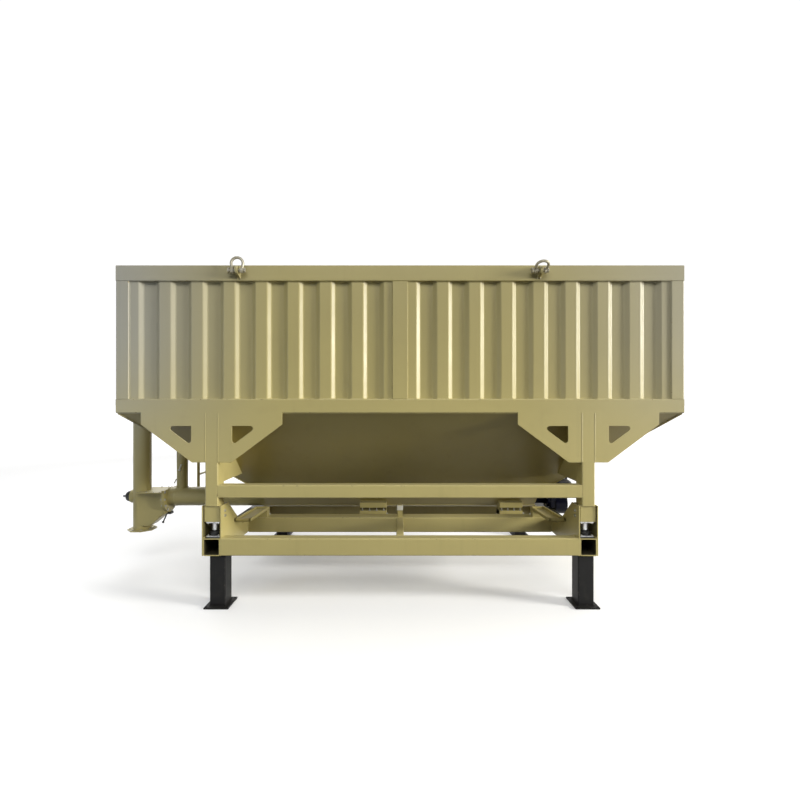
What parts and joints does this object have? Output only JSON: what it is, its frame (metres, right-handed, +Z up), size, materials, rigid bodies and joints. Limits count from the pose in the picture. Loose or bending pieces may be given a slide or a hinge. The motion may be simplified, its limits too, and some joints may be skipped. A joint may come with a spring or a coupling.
{
  "type": "horizontal cement silo",
  "caption": "Low horizontal cement silo: corrugated storage box over a hopper and discharge screw, on legs with load cells, a base frame and feet",
  "frame": {"origin": "on the floor, under the middle of the whole outline including the outlet pipe and the shackles", "axes": "+X along the silo from the outlet end to the drive end, +Y from the front to the rear, +Z up"},
  "size_m": [4.97, 2.4764, 2.708],
  "materials": {
    "silo_paint": "beige khaki machine paint, satin, dusty",
    "foot_paint": "black paint, satin, worn at the edges",
    "load_cell_metal": "plated steel",
    "drive_paint": "dark blue machine enamel",
    "bearing_black": "black cast housing",
    "shackle_metal": "grey steel with worn beige overspray"
  },
  "bodies": {
    "root": {"base_beam_front": "silo_paint", "base_beam_rear": "silo_paint", "bottom_rail_front": "silo_paint", "bottom_rail_rear": "silo_paint", "centre_post_front": "silo_paint", "centre_post_rear": "silo_paint", "clean_out_door_left": "silo_paint", "clean_out_door_right": "silo_paint", "drive_motor": "drive_paint", "end_bearing": "bearing_black", "end_wall_left": "silo_paint", "end_wall_right": "silo_paint", "foot_front_left": "foot_paint", "foot_front_right": "foot_paint", "foot_rear_left": "foot_paint", "foot_rear_right": "foot_paint", "gear_reducer": "drive_paint", "hopper_slope_front": "silo_paint", "hopper_slope_left": "silo_paint", "hopper_slope_rear": "silo_paint", "hopper_slope_right": "silo_paint", "inner_beam_front": "silo_paint", "inner_beam_rear": "silo_paint", "ladder": "silo_paint", "leg_front_left": "silo_paint", "leg_front_right": "silo_paint", "leg_rear_left": "silo_paint", "leg_rear_right": "silo_paint", "load_cell_front_left": "load_cell_metal", "load_cell_front_right": "load_cell_metal", "load_cell_rear_left": "load_cell_metal", "load_cell_rear_right": "load_cell_metal", "mid_beam_front": "silo_paint", "mid_beam_rear": "silo_paint", "outlet_pipe": "silo_paint", "roof_plate": "silo_paint", "screw_trough": "silo_paint", "screw_tube": "silo_paint", "side_beam_left": "silo_paint", "side_beam_right": "silo_paint", "top_rail_front": "silo_paint", "top_rail_rear": "silo_paint", "trough_end_left": "silo_paint", "trough_end_right": "silo_paint", "vent_pipe": "silo_paint", "wall_sheet_front": "silo_paint", "wall_sheet_rear": "silo_paint"},
    "shackle_front_left": {"shackle_front_left": "shackle_metal"},
    "shackle_front_right": {"shackle_front_right": "shackle_metal"},
    "shackle_rear_left": {"shackle_rear_left": "shackle_metal"},
    "shackle_rear_right": {"shackle_rear_right": "shackle_metal"}
  },
  "joints": [
    {"name": "shackle_front_left_swing", "type": "hinge", "parent": "root", "child": "shackle_front_left", "pos_m": [-0.945, -1.142, 2.6], "axis": [1, 0, 0], "range_deg": [-24, 190]},
    {"name": "shackle_front_right_swing", "type": "hinge", "parent": "root", "child": "shackle_front_right", "pos_m": [1.365, -1.142, 2.6], "axis": [1, 0, 0], "range_deg": [-86, 128]},
    {"name": "shackle_rear_left_swing", "type": "hinge", "parent": "root", "child": "shackle_rear_left", "pos_m": [-0.945, 1.142, 2.6], "axis": [-1, 0, 0], "range_deg": [-24, 190]},
    {"name": "shackle_rear_right_swing", "type": "hinge", "parent": "root", "child": "shackle_rear_right", "pos_m": [1.365, 1.142, 2.6], "axis": [-1, 0, 0], "range_deg": [-86, 128]}
  ]
}
